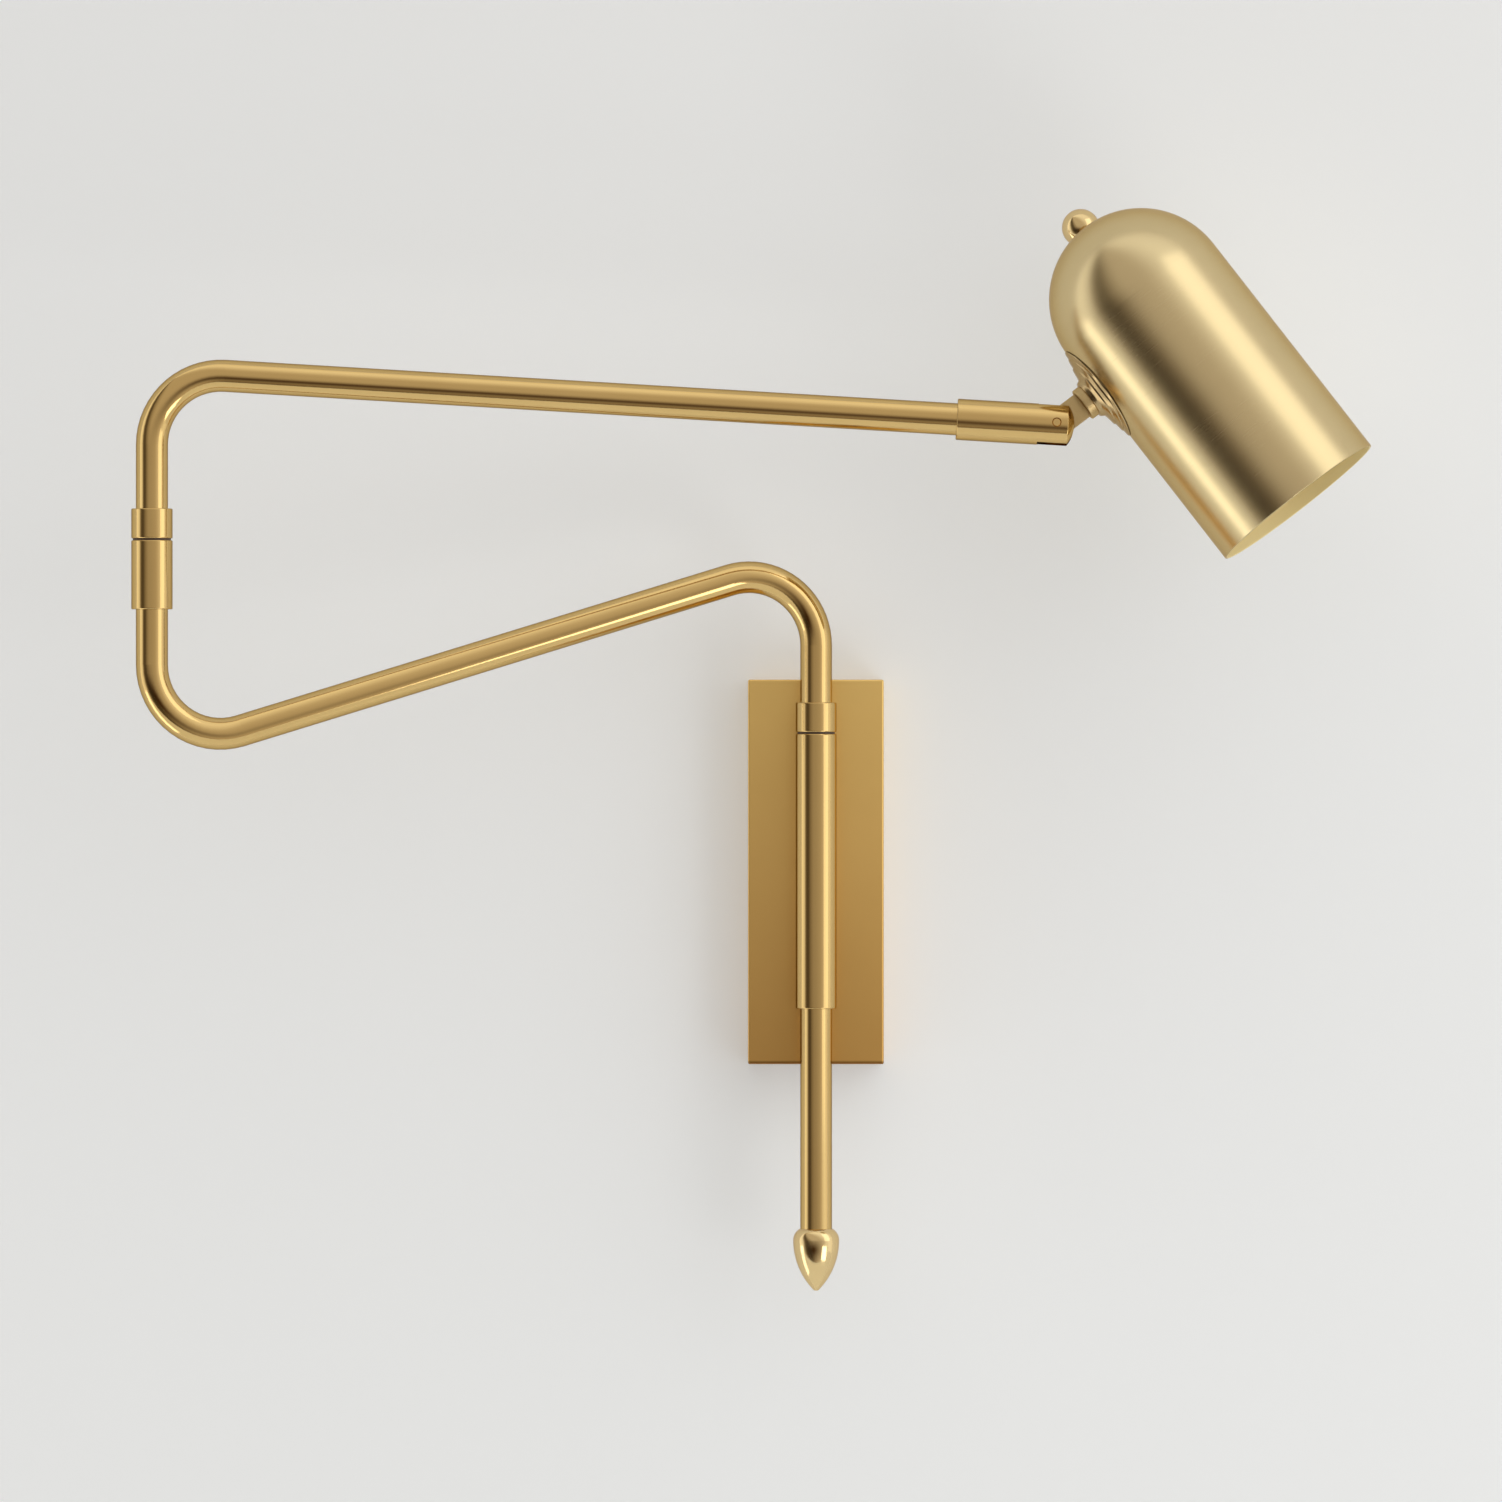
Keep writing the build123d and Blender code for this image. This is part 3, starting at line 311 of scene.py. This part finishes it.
def metal(name, tone, rough, spread, grain_scale, grain_stretch, bump, lacquer=0.0, deepest=0.86, edge=GLANCING):
    """A lacquered metal: a tone that deepens in its clouds, a grain in its roughness and a trace of relief."""
    made, tree, shader = new_material(name)
    grain, cloud = surface(tree, placed_vector(tree), grain_scale, grain_stretch, METAL_CLOUDS)
    deep = tuple(channel * deepest**power for channel, power in zip(tone, DEEPENING))
    tree.links.new(mix_colour(tree, cloud, deep, tone), shader.inputs["Base Color"])
    shader.inputs["Metallic"].default_value = 1.0
    shader.inputs["Coat Weight"].default_value = lacquer
    shader.inputs["Coat Roughness"].default_value = rough
    shader.inputs["Specular Tint"].default_value = (*edge, 1)
    fine = figure(tree, "MULTIPLY", grain, GRAIN_SHARE)
    slow = figure(tree, "MULTIPLY", cloud, 1 - GRAIN_SHARE)
    uneven = figure(tree, "ADD", fine, slow)
    tree.links.new(figure(tree, "MULTIPLY_ADD", uneven, spread, rough - spread / 2), shader.inputs["Roughness"])
    emboss(tree, shader, grain, bump)
    return made


def shade_brass():
    """Satin brass spun in fine rings about the shade's axis, with a warm painted lining inside."""
    made, tree, shader = new_material("shade_brass")
    vector = placed_vector(tree, SHADE_ANGLES, SHADE_CENTRE)
    rings = node(tree, "ShaderNodeMapping")
    rings.inputs["Scale"].default_value = (RING_STRETCH, RING_STRETCH, 1.0)
    tree.links.new(vector, rings.inputs["Vector"])
    grain, cloud = surface(tree, rings.outputs[0], RING_GRAIN, 1.0, SHADE_CLOUDS)

    # The lining is what lies nearer to the axis, or in the dome to its centre, than the shade's wall
    across, deep, along = split(tree, vector)
    in_dome = figure(tree, "MAXIMUM", along, 0.0)
    squares = [figure(tree, "MULTIPLY", length, length) for length in (across, deep, in_dome)]
    outward = figure(tree, "SQRT", figure(tree, "ADD", figure(tree, "ADD", *squares[:2]), squares[2]))
    lining = figure(tree, "LESS_THAN", outward, LINING_RADIUS)

    outside = mix_colour(tree, cloud, tuple(channel * SHADE_DEEPEST for channel in SHADE_BRASS), SHADE_BRASS)
    inside = mix_colour(tree, cloud, LINING_DEEP, LINING_BRASS)
    tree.links.new(mix_colour(tree, lining, outside, inside), shader.inputs["Base Color"])
    painted = figure(tree, "MULTIPLY", lining, LINING_PAINT)
    tree.links.new(figure(tree, "SUBTRACT", 1.0, painted), shader.inputs["Metallic"])
    fine = figure(tree, "MULTIPLY", grain, RING_ROUGH)
    slow = figure(tree, "MULTIPLY", cloud, CLOUD_ROUGH)
    base = figure(tree, "ADD", figure(tree, "MULTIPLY", lining, LINING_ROUGH), SHADE_ROUGH)
    tree.links.new(figure(tree, "ADD", figure(tree, "ADD", fine, slow), base), shader.inputs["Roughness"])
    shader.inputs["Specular Tint"].default_value = (*GLANCING, 1)
    emboss(tree, shader, grain, RING_RELIEF)
    return made


def box_brass():
    """The wall box's lacquered brass: a slightly bowed sheet, with painted shade that darkens it towards its foot and
    a line of painted shade along its lower fold.
    """
    made = metal("box_brass", BOX_BRASS, rough=0.40, spread=0.12, grain_scale=2200.0, grain_stretch=30.0, bump=0.05,
                 lacquer=0.3)
    tree = made.node_tree
    shader = tree.nodes["Principled BSDF"]
    lacquer = shader.inputs["Base Color"].links[0].from_socket
    relief = shader.inputs["Normal"].links[0].from_node
    across, _, height = split(tree, node(tree, "ShaderNodeTexCoord").outputs["Object"])

    # Painted shade: the tone darkens from the box's top down to its foot
    foot_shade_mask = node(tree, "ShaderNodeMapRange", From_Min=-BOX_HALF, From_Max=BOX_HALF)
    tree.links.new(height, foot_shade_mask.inputs["Value"])
    # Painted shade: a dark line along the box's lower fold
    above_fold = BOX_LOW + FOLD_LINE
    fold = node(tree, "ShaderNodeMapRange", From_Min=above_fold, From_Max=above_fold + FOLD_SOFT)
    tree.links.new(height, fold.inputs["Value"])
    painted_foot_shade = mix_colour(tree, foot_shade_mask.outputs[0], PAINTED_FOOT_SHADE, WHITE)
    painted_fold_shade = mix_colour(tree, fold.outputs[0], PAINTED_FOLD_SHADE, painted_foot_shade)
    tree.links.new(mix_colour(tree, 1.0, lacquer, painted_fold_shade, blend="MULTIPLY"), shader.inputs["Base Color"])

    from_crest = figure(tree, "SUBTRACT", height, BOW_CREST)
    fall_across = figure(tree, "DIVIDE", figure(tree, "MULTIPLY", across, across), 2 * BOW_ACROSS)
    fall_along = figure(tree, "DIVIDE", figure(tree, "MULTIPLY", from_crest, from_crest), 2 * BOW_ALONG)
    bowed = node(tree, "ShaderNodeBump", Strength=1.0, Distance=1.0, invert=True)
    tree.links.new(figure(tree, "ADD", fall_across, fall_along), bowed.inputs["Height"])
    tree.links.new(bowed.outputs["Normal"], relief.inputs["Normal"])
    return made


def plastic(name, tone, rough, fleck):
    """A moulded plastic with a fine spark-eroded texture."""
    made, tree, shader = new_material(name)
    grain, cloud = surface(tree, placed_vector(tree), PLASTIC_GRAIN, 1.0, PLASTIC_CLOUDS)
    pale = tuple(channel * (1 + fleck) + FLECK_LIFT for channel in tone)
    tree.links.new(mix_colour(tree, cloud, tone, pale), shader.inputs["Base Color"])
    tree.links.new(figure(tree, "MULTIPLY_ADD", grain, PLASTIC_SPREAD, rough), shader.inputs["Roughness"])
    emboss(tree, shader, grain, PLASTIC_RELIEF)
    return made


def opal_glass():
    """White flashed glass: milky, with a soft gloss and slight clouds in the white."""
    made, tree, shader = new_material("opal_glass")
    grain, cloud = surface(tree, placed_vector(tree), OPAL_GRAIN, 1.0, OPAL_CLOUDS)
    tree.links.new(mix_colour(tree, cloud, OPAL_DEEP, OPAL_WHITE), shader.inputs["Base Color"])
    tree.links.new(figure(tree, "MULTIPLY_ADD", grain, OPAL_SPREAD, OPAL_ROUGH), shader.inputs["Roughness"])
    shader.inputs["Subsurface Weight"].default_value = OPAL_MILK
    shader.inputs["Subsurface Radius"].default_value = OPAL_REACH
    return made


DISH = metal("dish_brass", DISH_BRASS, rough=0.22, spread=0.08, grain_scale=1800.0, grain_stretch=1.0, bump=0.04,
             lacquer=0.3)
# The tubes' dark glancing tone is painted shade along their outlines
TUBING = metal("tube_brass", TUBE_BRASS, rough=0.11, spread=0.05, grain_scale=1800.0, grain_stretch=1.0, bump=0.02,
               lacquer=0.4, edge=TUBE_OUTLINE_SHADE)
BOX = box_brass()
SHADE = shade_brass()
CAST = metal("cast_brass", CAST_BRASS, rough=0.36, spread=0.20, grain_scale=1100.0, grain_stretch=1.0, bump=0.9,
             deepest=0.62)
POLISHED = metal("polished_brass", POLISHED_BRASS, rough=0.12, spread=0.06, grain_scale=600.0, grain_stretch=1.0,
                 bump=0.02, lacquer=0.6)
ZINC = metal("zinc_steel", ZINC_PLATE, rough=0.36, spread=0.14, grain_scale=500.0, grain_stretch=6.0, bump=0.05,
             edge=WHITE)
BLACKENED = metal("dark_steel", BLACKENED_STEEL, rough=0.42, spread=0.12, grain_scale=800.0, grain_stretch=1.0,
                  bump=0.08, edge=WHITE)
NICKEL = metal("cap_metal", NICKEL_PLATE, rough=0.24, spread=0.10, grain_scale=700.0, grain_stretch=12.0, bump=0.04,
               edge=WHITE)
WASHER = plastic("dark_washer", WASHER_BROWN, rough=0.5, fleck=0.4)
TERMINALS = plastic("terminal_white", TERMINAL_WHITE, rough=0.45, fleck=0.04)
MOULDED = plastic("moulded_black", MOULDED_BLACK, rough=0.42, fleck=0.5)
SHEATH = plastic("lead_sheath", SHEATH_BLACK, rough=0.5, fleck=0.3)
OPAL = opal_glass()

BY_SLOT = {
    "satin_brass": SHADE,
    "tube_brass": TUBING,
    "polished_brass": POLISHED,
    "zinc_steel": ZINC,
    "dark_steel": BLACKENED,
    "dark_washer": WASHER,
    "terminal_white": TERMINALS,
    "moulded_black": MOULDED,
    "lead_sheath": SHEATH,
    "cap_metal": NICKEL,
    "opal_glass": OPAL,
}


def dress(name, material):
    """Puts one material on a CAD node."""
    mesh = nodes[name].data
    mesh.materials.clear()
    mesh.materials.append(material)


for subpart in frame["record"]["subparts"]:
    dress(subpart["node"], BY_SLOT[subpart["material_slot"]])
dress("box_cover", BOX)
dress("pivot_dish", DISH)
dress("knuckle", CAST)


# The dish between the shade and its knuckle


def pivot_dish():
    """A stepped oval dish whose rim follows the round of the shade."""
    rings = [tuple(size / 1000 for size in ring) for ring in DISH_RINGS]
    bpy.ops.object.select_all(action="DESELECT")
    bpy.ops.mesh.primitive_circle_add(vertices=DISH_AROUND, radius=rings[0][0], location=(0, 0, 0))
    dish = bpy.context.object
    dish.name = "stepped_pivot_dish"
    bpy.ops.object.mode_set(mode="EDIT")
    bpy.ops.mesh.select_all(action="SELECT")
    bpy.ops.transform.translate(value=(0, 0, rings[0][2]))
    for last, ring in zip(rings, rings[1:]):
        bpy.ops.mesh.extrude_edges_move()
        bpy.ops.transform.resize(value=(ring[0] / last[0], ring[1] / last[1], 1))
        bpy.ops.transform.translate(value=(0, 0, ring[2] - last[2]))
    bpy.ops.mesh.select_all(action="DESELECT")
    bpy.ops.mesh.select_non_manifold()
    bpy.ops.mesh.bridge_edge_loops()
    bpy.ops.mesh.select_all(action="SELECT")
    bpy.ops.mesh.normals_make_consistent(inside=False)
    bpy.ops.object.mode_set(mode="OBJECT")
    for vertex in dish.data.vertices:
        across, outward = vertex.co.y, Vector(vertex.co.xy).length
        seated = min(max((outward - SEAT_FROM) / SEAT_OVER, 0), 1)
        vertex.co.z -= (SHADE_RADIUS - sqrt(SHADE_RADIUS**2 - across**2)) * seated
    bpy.ops.object.shade_smooth_by_angle(angle=radians(DISH_CREASE))
    along_shade = Matrix(((0, 0, -1), (0, 1, 0), (1, 0, 0)))
    turn = Euler(SHADE_ANGLES).to_matrix()
    place = Matrix.Translation(Vector(SHADE_CENTRE) - turn.col[2] * PIVOT_BELOW_CENTRE)
    dish.matrix_world = place @ (turn @ along_shade).to_4x4()
    bpy.ops.object.transform_apply(location=True, rotation=True, scale=True)
    dish.data.materials.append(DISH)
    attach(dish, "head")
    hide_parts("pivot_dish")


pivot_dish()


# Stage: a pale wall that shows only its front, a pale floor far below, the light and the camera


def pale_stage_material(name, tone, glow):
    """A matt pale surface that keeps shadows and shows nothing from behind."""
    made = bpy.data.materials.new(name)
    made.use_nodes = True
    tree = made.node_tree
    tree.nodes.clear()
    output = node(tree, "ShaderNodeOutputMaterial")
    matt = node(tree, "ShaderNodeBsdfDiffuse")
    matt.inputs["Color"].default_value = (*tone, 1)
    light = node(tree, "ShaderNodeEmission")
    light.inputs["Color"].default_value = (*tone, 1)
    ray = node(tree, "ShaderNodeLightPath")
    seen = figure(tree, "ADD", ray.outputs["Is Camera Ray"], ray.outputs["Is Glossy Ray"], clamp=True)
    seen = figure(tree, "ADD", seen, ray.outputs["Is Transmission Ray"], clamp=True)
    tree.links.new(figure(tree, "MULTIPLY", seen, glow), light.inputs["Strength"])
    both = node(tree, "ShaderNodeAddShader")
    tree.links.new(matt.outputs[0], both.inputs[0])
    tree.links.new(light.outputs[0], both.inputs[1])
    clear = node(tree, "ShaderNodeBsdfTransparent")
    side = node(tree, "ShaderNodeNewGeometry")
    sided = node(tree, "ShaderNodeMixShader")
    tree.links.new(side.outputs["Backfacing"], sided.inputs[0])
    tree.links.new(both.outputs[0], sided.inputs[1])
    tree.links.new(clear.outputs[0], sided.inputs[2])
    tree.links.new(sided.outputs[0], output.inputs["Surface"])
    return made


def stage_plane(name, size, at, turn, material):
    """A flat piece of the stage."""
    bpy.ops.object.select_all(action="DESELECT")
    bpy.ops.mesh.primitive_plane_add(size=1, location=at, rotation=turn)
    plane = bpy.context.object
    plane.name = name
    plane.scale = (*size, 1)
    plane.data.materials.append(material)


wall_paint = pale_stage_material("wall_paint", WALL_TONE, WALL_GLOW)
floor_paint = pale_stage_material("floor_paint", WALL_TONE, FLOOR_GLOW)
stage_plane("wall", WALL_SIZE, WALL_PLACE, (radians(90), 0, 0), wall_paint)
stage_plane("floor", FLOOR_SIZE, FLOOR_PLACE, (0, 0, 0), floor_paint)


def dot_with(tree, vector, direction):
    """How far a vector runs along a direction."""
    made = node(tree, "ShaderNodeVectorMath", operation="DOT_PRODUCT")
    made.inputs[1].default_value = direction
    tree.links.new(vector, made.inputs[0])
    return made.outputs["Value"]


def off_patch(tree, angle, middle, reach):
    """The square of how far an angle lies from the dark patch's middle, in the patch's own reach."""
    away = figure(tree, "DIVIDE", figure(tree, "SUBTRACT", angle, radians(middle)), radians(reach))
    return figure(tree, "MULTIPLY", away, away)


def band_of_light(tree, direction, towards):
    """The band's colour in a direction, warmer where it is dim."""
    along = dot_with(tree, direction, (BAND_RIGHT, 0, BAND_UP))
    bearing = figure(tree, "ARCTAN2", along, towards)
    ramp = node(tree, "ShaderNodeValToRGB")
    ramp.color_ramp.interpolation = "LINEAR"
    elements = ramp.color_ramp.elements
    while len(elements) > 1:
        elements.remove(elements[-1])
    for index, (angle, level) in enumerate(BAND_LEVELS):
        place = angle / 360 + 0.5
        element = elements[0] if index == 0 else elements.new(place)
        element.position = place
        pale = min(level, 1.0)
        green, blue = (share + (1 - share) * pale for share in (DIM_GREEN, DIM_BLUE))
        element.color = (level, level * green, level * blue, 1)
    tree.links.new(figure(tree, "MULTIPLY_ADD", bearing, 1 / (2 * pi), 0.5), ramp.inputs[0])
    return ramp.outputs[0]


def studio_world():
    """Light by direction: dark just below the lens, bright strips at low left and high right, pale to the camera."""
    world = bpy.data.worlds.new("studio")
    bpy.context.scene.world = world
    world.use_nodes = True
    tree = world.node_tree
    tree.nodes.clear()
    output = node(tree, "ShaderNodeOutputWorld")
    direction = node(tree, "ShaderNodeTexCoord").outputs["Generated"]
    towards = dot_with(tree, direction, (0, -1, 0))
    right, _, up = split(tree, direction)
    off_across = off_patch(tree, figure(tree, "ARCTAN2", right, towards), DARK_ASIDE, DARK_WIDE)
    off_upward = off_patch(tree, figure(tree, "ARCSINE", up), DARK_HEIGHT, DARK_TALL)
    away = figure(tree, "ADD", off_across, off_upward)
    dark = figure(tree, "EXPONENT", figure(tree, "MULTIPLY", away, -1.0))
    kept = mix_colour(tree, dark, WHITE, DARK_TONE)
    band = band_of_light(tree, direction, towards)
    lit = node(tree, "ShaderNodeBackground", Strength=1.0)
    tree.links.new(mix_colour(tree, 1.0, band, kept, blend="MULTIPLY"), lit.inputs["Color"])
    pale = node(tree, "ShaderNodeBackground", Strength=1.0)
    pale.inputs["Color"].default_value = (*WALL_TONE, 1)
    ray = node(tree, "ShaderNodeLightPath")
    shown = node(tree, "ShaderNodeMixShader")
    tree.links.new(ray.outputs["Is Camera Ray"], shown.inputs[0])
    tree.links.new(lit.outputs[0], shown.inputs[1])
    tree.links.new(pale.outputs[0], shown.inputs[2])
    tree.links.new(shown.outputs[0], output.inputs["Surface"])


studio_world()


def softbox(name, at, target, size, power):
    """A soft rectangular light, aimed at a point."""
    lamp = bpy.data.lights.new(name, "AREA")
    lamp.shape = "RECTANGLE"
    lamp.size, lamp.size_y = size
    lamp.energy = power
    made = bpy.data.objects.new(name, lamp)
    made.location = at
    made.rotation_euler = (Vector(target) - Vector(at)).to_track_quat("-Z", "Y").to_euler()
    bpy.context.scene.collection.objects.link(made)


for light_row in SOFTBOXES:
    softbox(*light_row)

low, high = cad_box
middle = (low + high) / 2
camera = bpy.data.cameras.new("camera")
camera.sensor_width = SENSOR_WIDTH
camera.lens = SENSOR_WIDTH * (CAMERA_DISTANCE + middle.y) / ((high.x - low.x) / FILL)
viewer = bpy.data.objects.new("camera", camera)
viewer.location = (middle.x, -CAMERA_DISTANCE, middle.z)
viewer.rotation_euler = (radians(90), 0, 0)
bpy.context.scene.collection.objects.link(viewer)
bpy.context.scene.camera = viewer
bpy.context.scene.view_settings.view_transform = "Standard"
